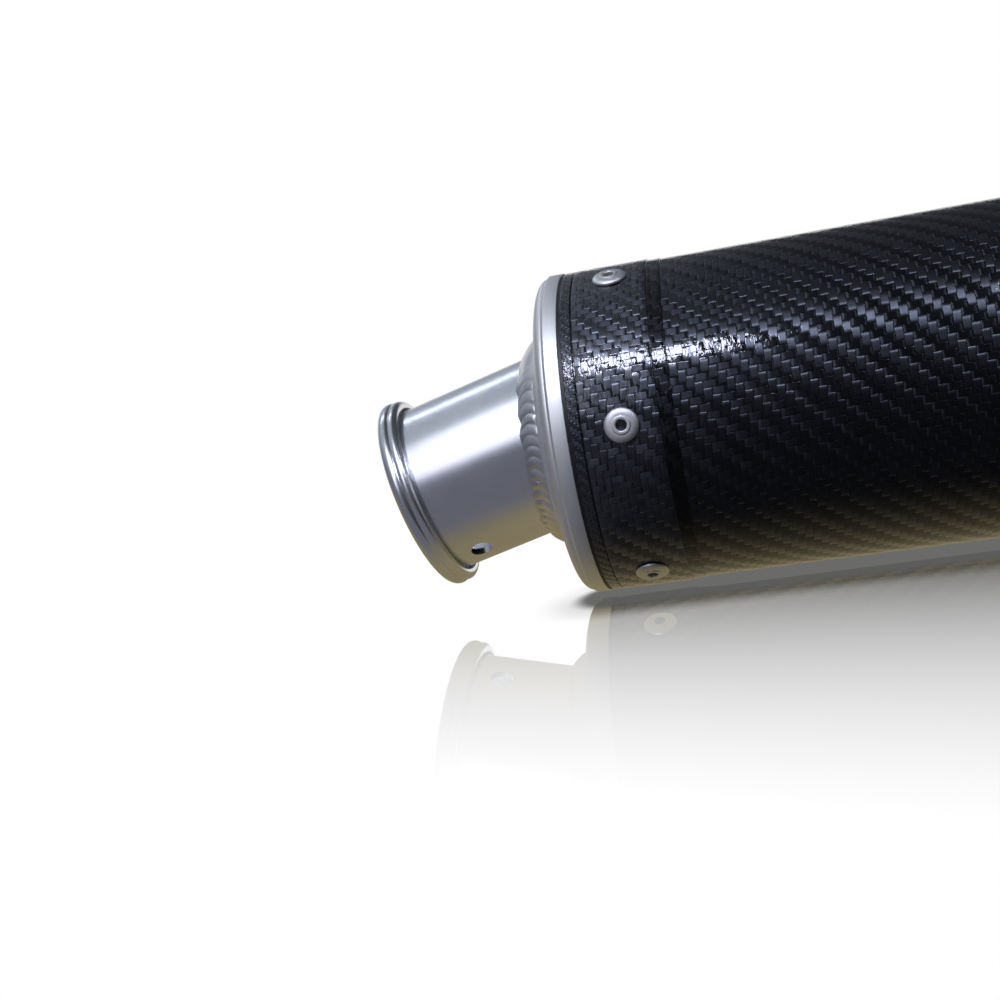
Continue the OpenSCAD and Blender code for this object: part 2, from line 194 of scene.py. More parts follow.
@dataclass(frozen=True)
class CarbonTwill:
    """Carbon 2x2 twill under clear epoxy, wound wet and polished.

    Fibres shine across their own run and stay black along it, so the tows round the can light up in
    one long band, and the tows along it only close to a lamp's own image. Each float is flat in the
    middle and dives at its ends, which catch the light as thin ticks on either side of that band.
    The resin over them is a glassy coat that is a little uneven, so it breaks a lamp's image up.

    The weave is read from the piece's own UV map, counted in tows: u along the can, v round it.
    """

    name: str
    tow: str = "4c4f57"
    dull: str = "26282c"
    # dark resin between the tows, and also the colour of the painted shade on the tows along the can
    gap: str = "050506"
    base_rough: float = 0.40
    weave_depth: float = 0.20      # how far a float stands over the tow it crosses, in millimetres
    tight: float = 1.0             # tows per tow of the main weave
    wave_depth: float = 0.15       # unevenness of the resin, in millimetres

    def build(self) -> bpy.types.Material:
        """Return the material.

        Cell (i, j) has step = (i + j) mod 4. Steps 0 and 1 show the tow round the can, 2 and 3 the
        tow along it, which is a 2x2 twill. A float's height is (1 - 0.35 side^12) * (1 - end^5), where
        side and end run from 0 at the float's middle to 1 at its rim.
        """
        material, g, shader = new_material(self.name)
        tree = g.tree
        uv = g.stretch(add(tree, "UVMap", uv_map="weave").outputs[0], (self.tight, self.tight, 1.0))
        drift = add(tree, "VectorMath", {0: add(tree, "TexNoise", {"Vector": uv, "Scale": 0.35}).outputs[1],
                                         1: (0.5, 0.5, 0.5)}, operation="SUBTRACT").outputs[0]
        moved = add(tree, "VectorMath", {0: drift, 1: (0.40, 0.40, 0.0), 2: uv},
                    operation="MULTIPLY_ADD").outputs[0]
        split = add(tree, "SeparateXYZ", {0: moved})
        u, v = split.outputs[0], split.outputs[1]
        i, j = g.op("FLOOR", u), g.op("FLOOR", v)
        fu, fv = g.op("FRACT", u), g.op("FRACT", v)
        step = g.op("FLOORED_MODULO", g.op("ADD", i, j), 4.0)
        hoop = g.op("LESS_THAN", step, 1.5)
        along_can = g.op("SUBTRACT", 1.0, hoop)
        across = g.op("ADD", g.op("MULTIPLY", hoop, fu), g.op("MULTIPLY", along_can, fv))
        run = g.op("ADD", g.op("MULTIPLY", hoop, fv), g.op("MULTIPLY", along_can, fu))
        along = g.op("MULTIPLY", g.op("ADD", g.op("FLOORED_MODULO", step, 2.0), run), 0.5)
        side = g.op("ABSOLUTE", g.op("SUBTRACT", g.op("MULTIPLY", across, 2.0), 1.0))
        end = g.op("ABSOLUTE", g.op("SUBTRACT", g.op("MULTIPLY", along, 2.0), 1.0))
        height = g.op("MULTIPLY", g.op("SUBTRACT", 1.0, g.op("MULTIPLY", g.op("POWER", side, 12.0), 0.35)),
                      g.op("SUBTRACT", 1.0, g.op("POWER", end, 5.0)))
        seam = g.op("MULTIPLY", g.smooth(side, 0.86, 1.0, 1.0, 0.15), g.smooth(end, 0.95, 1.0, 1.0, 0.3))
        # One shade for each tow along its whole length, and one for each float.
        across_can = g.op("MULTIPLY", i, hoop)
        strand = add(tree, "CombineXYZ", {0: across_can, 1: g.op("MULTIPLY", j, along_can), 2: hoop})
        shade = add(tree, "TexWhiteNoise", {"Vector": strand.outputs[0]}, noise_dimensions="3D").outputs[0]
        cell = add(tree, "CombineXYZ", {0: i, 1: j})
        fleck = add(tree, "TexWhiteNoise", {"Vector": cell.outputs[0]}, noise_dimensions="3D").outputs[0]
        # Bundles of fibre inside a tow: filaments are 7 microns, so bundles of 0.3 mm are drawn instead.
        lines = g.op("ADD", g.op("MULTIPLY", hoop, g.noise(g.stretch(uv, (8.0, 0.5, 1.0)), 1.0)),
                     g.op("MULTIPLY", along_can, g.noise(g.stretch(uv, (0.5, 8.0, 1.0)), 1.0)))
        bright = g.op("ADD", g.op("MULTIPLY", shade, 0.30), g.op("MULTIPLY", fleck, 0.20))
        bright = g.op("ADD", bright, g.op("MULTIPLY", lines, 0.75), clamp=True)
        tone = g.blend(bright, linear(self.dull), linear(self.tow))
        # Painted shade: the tows along the can are darkened towards the gap colour, so they stay dark under
        # the room's light, which the shader alone would let them catch.
        tone = g.blend(g.op("MULTIPLY", along_can, 0.62), tone, linear(self.gap))
        colour = g.blend(seam, linear(self.gap), tone)
        relief = g.op("ADD", height, g.op("MULTIPLY", lines, 0.035))
        fibres = g.bump(relief, self.weave_depth / self.tight * MM)
        ripple = g.noise(g.stretch(uv, (0.95, 0.40, 1.0)), 1.0, 3.0, 0.5)
        resin = g.bump(g.op("ADD", g.op("MULTIPLY", height, 0.14), ripple), self.wave_depth * MM)
        tangent = add(tree, "Tangent", direction_type="UV_MAP", uv_map="weave").outputs[0]
        wire(g.tree, shader, {
            "Base Color": colour, "Metallic": 1.0, "Roughness": self.base_rough, "Normal": fibres,
            "Anisotropic": 0.89, "Anisotropic Rotation": g.op("MULTIPLY", along_can, 0.25),
            "Tangent": tangent, "Coat Weight": 1.0, "Coat Roughness": 0.06, "Coat IOR": 1.42,
            "Coat Normal": resin,
        })
        return material


class Lay(Enum):
    """How the marks of a metal finish run."""

    ALONG = "along the can"
    AROUND = "round the can"
    RANDOM = "no direction"


@dataclass(frozen=True)
class SatinMetal:
    """A bare metal worked to a satin: turned, brushed, drawn, or blasted.

    Fine marks run one way and soften the reflection across them; handling leaves faint patches.
    """

    name: str
    colour: str
    dark: str
    rough: float
    lay: Lay = Lay.AROUND
    marks: float = 0.35          # spacing of the marks, drawn coarse enough to show
    depth: float = 0.004
    anisotropy: float = 0.35
    patch: float = 14.0

    def build(self) -> bpy.types.Material:
        """Return the material."""
        material, g, shader = new_material(self.name)
        tree = g.tree
        place = add(tree, "TexCoord").outputs["Object"]
        fine = 1.0 / (self.marks * MM)
        if self.lay is Lay.ALONG:
            scale = (fine * 0.03, fine, fine)
        elif self.lay is Lay.AROUND:
            scale = (fine, fine * 0.03, fine * 0.03)
        else:
            scale = (fine, fine, fine)
        marks = g.noise(g.stretch(place, scale), 1.0, 3.0, 0.6)
        patches = g.noise(place, 1.0 / (self.patch * MM), 3.0, 0.55)
        specks = g.noise(place, 1.0 / (1.1 * MM), 2.0, 0.7)
        tone = g.op("ADD", g.op("MULTIPLY", marks, 0.45), g.op("MULTIPLY", patches, 0.55))
        colour = g.blend(g.smooth(tone, 0.3, 0.7), linear(self.dark), linear(self.colour))
        pits = g.smooth(specks, 0.16, 0.28, 0.75, 1.0)
        grey = add(tree, "CombineColor", {0: pits, 1: pits, 2: pits}).outputs[0]
        colour = g.blend(1.0, colour, grey, "MULTIPLY")
        rough = g.op("ADD", self.rough - 0.03, g.op("MULTIPLY", patches, 0.06))
        wire(g.tree, shader, {
            "Base Color": colour, "Metallic": 1.0, "Roughness": rough,
            "Normal": g.bump(marks, self.depth * MM), "Anisotropic": self.anisotropy,
            "Tangent": add(tree, "Tangent", direction_type="RADIAL", axis="X").outputs[0],
        })
        return material


@dataclass(frozen=True)
class Rubber:
    """Black silicone or EPDM rubber: a dull sheen, dusted, with a fine moulded grain."""

    name: str
    colour: str = "141414"
    rough: float = 0.55
    grain: float = 0.5

    def build(self) -> bpy.types.Material:
        """Return the material."""
        material, g, shader = new_material(self.name)
        place = add(g.tree, "TexCoord").outputs["Object"]
        grain = g.noise(place, 1.0 / (self.grain * MM), 3.0)
        dust = g.noise(place, 1.0 / (9.0 * MM), 4.0, 0.6)
        colour = g.blend(g.smooth(dust, 0.35, 0.75), linear(self.colour), linear("26262a"))
        wire(g.tree, shader, {
            "Base Color": colour, "Roughness": g.op("ADD", self.rough - 0.08, g.op("MULTIPLY", dust, 0.2)),
            "IOR": 1.5, "Normal": g.bump(grain, 0.02 * MM),
        })
        return material


@dataclass(frozen=True)
class Fibre:
    """Matted mineral or steel fibre: thin strands lying every way, mostly round the tube."""

    name: str
    colour: str
    dark: str
    metallic: float
    strand: float = 0.4

    def build(self) -> bpy.types.Material:
        """Return the material."""
        material, g, shader = new_material(self.name)
        place = add(g.tree, "TexCoord").outputs["Object"]
        fine = 1.0 / (self.strand * MM)
        first = g.noise(g.stretch(place, (fine, fine * 0.15, fine * 0.15)), 1.0, 3.0)
        second = g.noise(g.stretch(place, (fine * 0.15, fine, fine * 0.15)), 1.0, 3.0)
        strands = g.op("MAXIMUM", first, second)
        colour = g.blend(g.smooth(strands, 0.4, 0.75), linear(self.dark), linear(self.colour))
        wire(g.tree, shader, {"Base Color": colour, "Metallic": self.metallic, "Roughness": 0.75,
                              "Normal": g.bump(strands, 0.3 * MM)})
        return material


@dataclass(frozen=True)
class Studio:
    """The pale floor: white where nothing stands, and polished enough to mirror what stands close to it."""

    floor_half: float = 2600.0
    mirror: float = 0.85           # share of the mirror image right in front of the can
    fade: float = 220.0            # distance over which the mirror image fades out
    slant: float = 0.6             # how far the fade's lines lean, per unit along the can
    stand_off: float = 1.4         # the floor lies this far under the cap's rim
    shade_y: float = 4.0           # the contact shade's middle lies this far in front of the can's axis
    shade_end: float = 2.2         # how much faster the shade ends past the can than beside it
    hidden: tuple[float, float] = (22.0, 36.0)     # where the mirror comes in, from the shade's middle
    shade: tuple[float, float] = (26.0, 58.0)      # where the shade runs out

    def share(self, g: Graph, x: Socket, y: Socket, away: Socket, joint_x: float, far_x: float) -> Socket:
        """How much of the floor's look is mirror.

        It is mirror * (1 - d / fade), where d is the distance in front of the can, leaned by slant,
        and it also dies away behind the can, beyond its ends, under it, and seen from above.

        Args:
            g: the floor's graph.
            x: place along the can, in metres.
            y: place across it, positive behind.
            away: distance from the contact shade's middle.
            joint_x: where the outlet's joint is along X, in millimetres.
            far_x: where the inlet's joint is.

        Returns:
            The share's socket.
        """
        lean = g.op("MULTIPLY", g.op("SUBTRACT", x, (joint_x + 15.0) * MM), -self.slant)
        lean = g.op("MINIMUM", g.op("MAXIMUM", lean, -60.0 * MM), 30.0 * MM)
        ahead = g.op("MAXIMUM", g.op("SUBTRACT", lean, y), 0.0)
        share = g.op("SUBTRACT", 1.0, g.op("DIVIDE", ahead, self.fade * MM), clamp=True)
        # A polished floor mirrors what is seen at a slant and hardly anything from above.
        facing = add(g.tree, "LayerWeight", {"Blend": 0.5}).outputs["Facing"]
        limits = (
            g.smooth(y, 10.0 * MM, 70.0 * MM, 1.0, 0.0),
            g.smooth(x, (joint_x - 170.0) * MM, (joint_x - 100.0) * MM),
            g.smooth(x, (far_x + 40.0) * MM, (far_x + 110.0) * MM, 1.0, 0.0),
            g.smooth(facing, 0.45, 0.80),
            g.smooth(away, self.hidden[0] * MM, self.hidden[1] * MM, 0.05, 1.0),
        )
        for limit in limits:
            share = g.op("MULTIPLY", share, limit)
        return g.op("MULTIPLY", share, self.mirror)

    def floor_material(self, joint_x: float, far_x: float) -> bpy.types.Material:
        """Return the floor's finish.

        Args:
            joint_x: where the outlet's joint is along X, in millimetres.
            far_x: where the inlet's joint is.

        Returns:
            The material.
        """
        material, g = blank_material("polished pale floor")
        tree = g.tree
        place = add(tree, "SeparateXYZ", {0: add(tree, "TexCoord").outputs["Object"]})
        x, y = place.outputs[0], place.outputs[1]
        # The light that the can keeps off the floor where it almost touches it.
        past = g.op("MAXIMUM", g.op("SUBTRACT", (joint_x + 2.0) * MM, x),
                    g.op("SUBTRACT", x, (far_x - 2.0) * MM))
        past = g.op("MULTIPLY", g.op("MAXIMUM", past, 0.0), self.shade_end)
        side = g.op("ADD", y, self.shade_y * MM)
        away = g.op("SQRT", g.op("ADD", g.op("MULTIPLY", past, past), g.op("MULTIPLY", side, side)))
        under = g.smooth(away, self.shade[0] * MM, self.shade[1] * MM, 1.0, 0.0)
        white = g.blend(under, linear("ffffff"), linear("5c5c5b"))
        lit = add(tree, "Emission", {"Color": white, "Strength": 1.0})
        gloss = add(tree, "BsdfGlossy", {"Color": linear("ffffff"), "Roughness": 0.015})
        share = self.share(g, x, y, away, joint_x, far_x)
        seen = add(tree, "MixShader", {0: share, 1: lit.outputs[0], 2: gloss.outputs[0]})
        # What the floor throws back onto the metal: warm close under the can, cool and dim in front.
        beside = g.smooth(x, (joint_x - 12.0) * MM, (joint_x + 8.0) * MM)
        front = g.blend(beside, linear("6f707b"), linear("35363a"))
        tint = g.blend(g.smooth(y, -48.0 * MM, -12.0 * MM), front, linear("95896a"))
        bounce = add(tree, "Emission", {"Color": tint, "Strength": 1.0})
        camera = add(tree, "LightPath").outputs["Is Camera Ray"]
        both = add(tree, "MixShader", {0: camera, 1: bounce.outputs[0], 2: seen.outputs[0]})
        add(tree, "OutputMaterial", {"Surface": both.outputs[0]})
        return material


# ---- Surfaces ----


def arc(centre: tuple[float, float], radius: float, start: float, end: float, steps: int = 12) -> Array:
    """Points of a circular arc: the centre plus radius times (cos t, sin t), t from start to end.

    Args:
        centre: the arc's centre.
        radius: its radius.
        start: first angle, in degrees.
        end: last angle, in degrees.
        steps: pieces between them.

    Returns:
        An array of steps + 1 points.
    """
    t = np.radians(np.linspace(start, end, steps + 1))
    return np.array(centre) + radius * np.stack([np.cos(t), np.sin(t)], axis=1)


def line(first: tuple[float, float], last: tuple[float, float], steps: int) -> Array:
    """Evenly spaced points from first up to, but not including, last."""
    t = np.linspace(0.0, 1.0, steps, endpoint=False)[:, None]
    return np.array(first) * (1.0 - t) + np.array(last) * t


@dataclass(frozen=True)
class Axis:
    """A turning axis: an origin in millimetres and three directions, the first along the axis."""

    origin: tuple[float, float, float]
    along: tuple[float, float, float]
    up: tuple[float, float, float]

    def place(self, radius: Union[float, Array], angle: Array, distance: Array) -> Array:
        """Put cylindrical coordinates, broadcast against each other, in space.

        Each point is origin + distance * along + radius * (cos(angle) * up + sin(angle) * side),
        where side is along x up.

        Args:
            radius: distances from the axis.
            angle: angles round it from up, in radians.
            distance: distances along it.

        Returns:
            An array of points with a last dimension of three.
        """
        radius, angle, distance = np.broadcast_arrays(radius, angle, distance)
        along, up = np.array(self.along), np.array(self.up)
        side = np.cross(along, up)
        ring = np.cos(angle)[..., None] * up + np.sin(angle)[..., None] * side
        return np.array(self.origin) + distance[..., None] * along + radius[..., None] * ring


@dataclass
class Surface:
    """Vertices in millimetres and faces, gathered from one or more grids."""

    points: list[Array] = field(default_factory=list)
    faces: list[Array] = field(default_factory=list)
    uvs: list[Array] = field(default_factory=list)
    count: int = 0

    def grid(self, points: Array, wrap_rows: bool = False, wrap_columns: bool = True,
             uv: Optional[Array] = None) -> "Surface":
        """Add a grid of quads: vertex (r, c) joins (r + 1, c), (r + 1, c + 1) and (r, c + 1).

        Args:
            points: an array of rows x columns x 3.
            wrap_rows: whether the last row joins the first.
            wrap_columns: whether the last column joins the first.
            uv: coordinates at rows + 1 x columns + 1 corners, or None.

        Returns:
            This surface.
        """
        rows, columns = points.shape[:2]
        r = np.arange(rows if wrap_rows else rows - 1)[:, None]
        c = np.arange(columns if wrap_columns else columns - 1)[None, :]
        r2, c2 = (r + 1) % rows, (c + 1) % columns
        near, far = r * columns, r2 * columns
        quad = np.stack([near + c, far + c, far + c2, near + c2], axis=-1).reshape(-1, 4)
        if uv is None:
            uv = np.zeros((rows + 1, columns + 1, 2))
        corner = np.stack([uv[r, c], uv[r + 1, c], uv[r + 1, c + 1], uv[r, c + 1]], axis=-2)
        self.points.append(points.reshape(-1, 3))
        self.faces.append(quad + self.count)
        self.uvs.append(corner.reshape(-1, 4, 2))
        self.count += rows * columns
        return self

    def make(self, name: str, material: bpy.types.Material, sharp: float = 35.0) -> bpy.types.Object:
        """Make a smooth-shaded object at the origin, with edges over the sharp angle left crisp.

        Args:
            name: the object's name.
            material: its material.
            sharp: angle between faces, in degrees, over which an edge stays crisp.

        Returns:
            The new object.
        """
        points = np.concatenate(self.points) * MM
        faces = np.concatenate(self.faces)
        mesh = bpy.data.meshes.new(name)
        mesh.from_pydata(points.tolist(), [], faces.tolist())
        layer = mesh.uv_layers.new(name="weave")
        layer.data.foreach_set("uv", np.concatenate(self.uvs).astype(np.float32).ravel())
        mesh.materials.append(material)
        obj = bpy.data.objects.new(name, mesh)
        bpy.context.scene.collection.objects.link(obj)
        clean(mesh)
        mesh.shade_smooth()
        mesh.set_sharp_from_angle(angle=math.radians(sharp))
        return obj


def clean(mesh: bpy.types.Mesh) -> None:
    """Merge doubled points, which closes seams and poles, and turn all faces outwards."""
    work = bmesh.new()
    work.from_mesh(mesh)
    bmesh.ops.remove_doubles(work, verts=work.verts, dist=1e-7)
    bmesh.ops.recalc_face_normals(work, faces=work.faces)
    work.to_mesh(mesh)
    work.free()


def turned(surface: Surface, axis: Axis, profile: Array, segments: int, weave: bool = False) -> Surface:
    """Revolve a closed section round an axis and add it to a surface.

    Point (k, n) stands at the profile's radius k and distance k, at angle n * 360 / segments.

    Args:
        surface: what to add it to.
        axis: the axis to turn about.
        profile: rows of (radius, distance along the axis), in order round the section.
        segments: steps round the axis.
        weave: whether to lay the weave's coordinates on it, counted in tows.

    Returns:
        The surface.
    """
    angle = np.arange(segments) * TURN / segments
    uv = None
    if weave:
        looped = np.concatenate([profile, profile[:1]])
        run = np.concatenate([[0.0], np.cumsum(np.hypot(*np.diff(looped, axis=0).T))])
        widest = np.argmax(profile[:, 0])
        u = (run - run[widest] + looped[widest, 1]) / TOW
        round_can = np.arange(segments + 1) * TOWS_ROUND / segments
        uv = np.stack(np.broadcast_arrays(u[:, None], round_can[None, :]), axis=-1)
    return surface.grid(axis.place(profile[:, :1], angle, profile[:, 1:]), wrap_rows=True, uv=uv)


# ---- The can's own places, read from the frame ----


def end_name(outlet: bool) -> str:
    """Name of one end of the can."""
    return "outlet" if outlet else "inlet"


@dataclass(frozen=True)
class Layout:
    """Where the can's ends are, in millimetres in the row frame."""

    outlet_x: float
    inlet_x: float
    sleeve_r: float
    outlet_turn: float = 14.0      # degrees that the outlet turns down
    axis_cross: float = 10.3       # where the outlet's axis leaves the can's, in front of the sleeve

    @classmethod
    def read(cls) -> "Layout":
        """Measure the sleeve's CAD node."""
        low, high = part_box("carbon_sleeve")
        return cls(outlet_x=low.x / MM, inlet_x=high.x / MM, sleeve_r=high.z / MM)

    def end(self, outlet: bool) -> Axis:
        """Axis of one end, starting at the sleeve's end and pointing out of the can."""
        if outlet:
            return Axis((self.outlet_x, 0.0, 0.0), (-1.0, 0.0, 0.0), (0.0, 0.0, 1.0))
        return Axis((self.inlet_x, 0.0, 0.0), (1.0, 0.0, 0.0), (0.0, 0.0, 1.0))

    def outlet(self) -> Axis:
        """Axis of the turned-down outlet pipe."""
        turn = math.radians(self.outlet_turn)
        origin = (self.outlet_x - self.axis_cross, 0.0, 0.0)
        return Axis(origin, (-math.cos(turn), 0.0, -math.sin(turn)), (-math.sin(turn), 0.0, math.cos(turn)))


@dataclass
class Shop:
    """Every finish on the object, made once."""

    made: dict[str, bpy.types.Material] = field(default_factory=dict)

    def finish(self, kind: object) -> bpy.types.Material:
        """Build a finish the first time it is asked for, and hand it out after that."""
        name = getattr(kind, "name")
        if name not in self.made:
            self.made[name] = kind.build()
        return self.made[name]


BAND_TIGHT = 156 / 144         # the band's tows are narrower than the sleeve's
SLEEVE_TWILL = CarbonTwill("carbon twill, sleeve")
# A lit copy of the sleeve's carbon: the band's brighter tow colour is a painted highlight for the overhead
# light on its floats.
BAND_TWILL = CarbonTwill("carbon twill, band", tow="6a6e78", wave_depth=0.24, tight=BAND_TIGHT)
EDGE_TWILL = CarbonTwill("carbon twill, edge ply", tow="2b2d32", dull="101113", weave_depth=0.12,
                         tight=BAND_TIGHT)
SELVEDGE = CarbonTwill("carbon twill, selvedge", tow="5c6068", base_rough=0.46, tight=2.5)
TURNED = SatinMetal("turned aluminium", "e2e3e0", "d9dbd8", 0.50, Lay.AROUND, marks=0.30, depth=0.0008)
DRAWN = SatinMetal("drawn aluminium tube, satin", "dcdee1", "d2d4d8", 0.26, Lay.ALONG, marks=0.35,
                   depth=0.0004, anisotropy=0.2)
STRAP = SatinMetal("aluminium strap, brushed", "c6c9ce", "a9adb3", 0.32, Lay.AROUND, marks=0.4)
STAINLESS = SatinMetal("stainless sheet, brushed", "b9b7b3", "97958f", 0.30, Lay.AROUND)
WELD = SatinMetal("aluminium weld", "e2e2e0", "cfd0d0", 0.34, Lay.RANDOM, marks=1.2, depth=0.006,
                  anisotropy=0.0)
RIVET = SatinMetal("rivet aluminium", "e4e4e3", "cfd0d0", 0.50, Lay.RANDOM, marks=0.8, depth=0.008,
                   anisotropy=0.0)
PLATED = SatinMetal("zinc-plated steel", "b4b6b9", "86898d", 0.34, Lay.RANDOM, marks=0.5, anisotropy=0.0)
SEALANT = Rubber("black silicone sealant", "0b0b0b", 0.45, 0.8)
LINER = Rubber("liner rubber", "161616", 0.62, 0.5)
WOOL = Fibre("steel wool", "8d8f92", "2c2d2f", 0.9)
PACKING = Fibre("glass fibre packing", "e6e0cf", "a69f8b", 0.0, 0.6)


def put(obj: bpy.types.Object, body: str, slot: str, *nodes: str) -> None:
    """Make a finished piece ride on a body and stand for CAD nodes.

    Args:
        obj: the piece.
        body: the CAD body that it moves with.
        slot: the record's material slot; not used.
        nodes: the CAD nodes that it replaces.
    """
    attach(obj, body)
    if nodes:
        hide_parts(*nodes)
    LOG.info("%s: %d faces on %s", obj.name, len(obj.data.polygons), body)


def dress(node: str, material: bpy.types.Material) -> None:
    """Give a CAD node its finish."""
    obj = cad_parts[node]
    obj.data.materials.clear()
    obj.data.materials.append(material)


# ---- The can ----


@dataclass
class CarbonCan:
    """The wound sleeve and the band over each of its ends."""

    layout: Layout
    shop: Shop
    wall: float = 1.6
    band_wall: float = 0.6
    band_width: float = 24.3
    selvedge: float = 3.0          # the close-woven strip along the band's outer edge
    step_width: float = 3.8
    step_wall: float = 0.25
    edge_round: float = 0.25
    segments: int = 240

    def sleeve(self) -> None:
        """The tube: one closed section, turned about the can's axis."""
        r, length = self.layout.sleeve_r, self.layout.inlet_x - self.layout.outlet_x
        outer = line((r, 0.0), (r, -length), 30)
        inner = line((r - self.wall, -length), (r - self.wall, 0.0), 4)
        profile = np.concatenate([outer, [[r, -length]], inner, [[r - self.wall, 0.0]]])
        surface = turned(Surface(), self.layout.end(True), profile, self.segments, weave=True)
        put(surface.make("sleeve", self.shop.finish(SLEEVE_TWILL)), "can", "carbon", "carbon_sleeve")

    def ring(self, name: str, outlet: bool, low: float, high: float, wall: float,
             finish: CarbonTwill) -> bpy.types.Object:
        """One ply of a band: a flat hoop whose outer edges are rounded.

        Args:
            name: the piece's name.
            outlet: which end it is on.
            low: distance of its inner end from the sleeve's end, into the can.
            high: distance of its outer end.
            wall: its thickness.
            finish: its finish.

        Returns:
            The new piece.
        """
        r, e = self.layout.sleeve_r, min(self.edge_round, wall * 0.8)
        top = r + wall
        profile = np.concatenate([
            [[r, -high]], arc((top - e, -high - e), e, 90.0, 0.0, 4),
            line((top, -high - e), (top, -low + e), 8)[1:],
            arc((top - e, -low + e), e, 0.0, -90.0, 4), [[r, -low]],
        ])
        surface = turned(Surface(), self.layout.end(outlet), profile, self.segments, weave=True)
        return surface.make(name, self.shop.finish(finish), sharp=50.0)

    def band(self, outlet: bool) -> None:
        """The band on one end: its top ply, the close-woven strip at the joint, and the lowest ply's edge."""
        end = end_name(outlet)
        gap = 0.25
        width, step = self.band_width, self.band_width + self.step_width
        main = self.ring(f"{end}_band_ply", outlet, width, self.selvedge + gap, self.band_wall, BAND_TWILL)
        put(main, "can", "carbon_band", f"{end}_band")
        strip_wall = self.band_wall - 0.08
        strip = self.ring(f"{end}_band_selvedge", outlet, self.selvedge, 0.0, strip_wall, SELVEDGE)
        put(strip, "can", "carbon_band")
        low = self.ring(f"{end}_band_step", outlet, step, width - gap, self.step_wall, EDGE_TWILL)
        put(low, "can", "carbon_band")

    def build(self) -> None:
        """Make the sleeve and both bands."""
        self.sleeve()
        for outlet in (True, False):
            self.band(outlet)


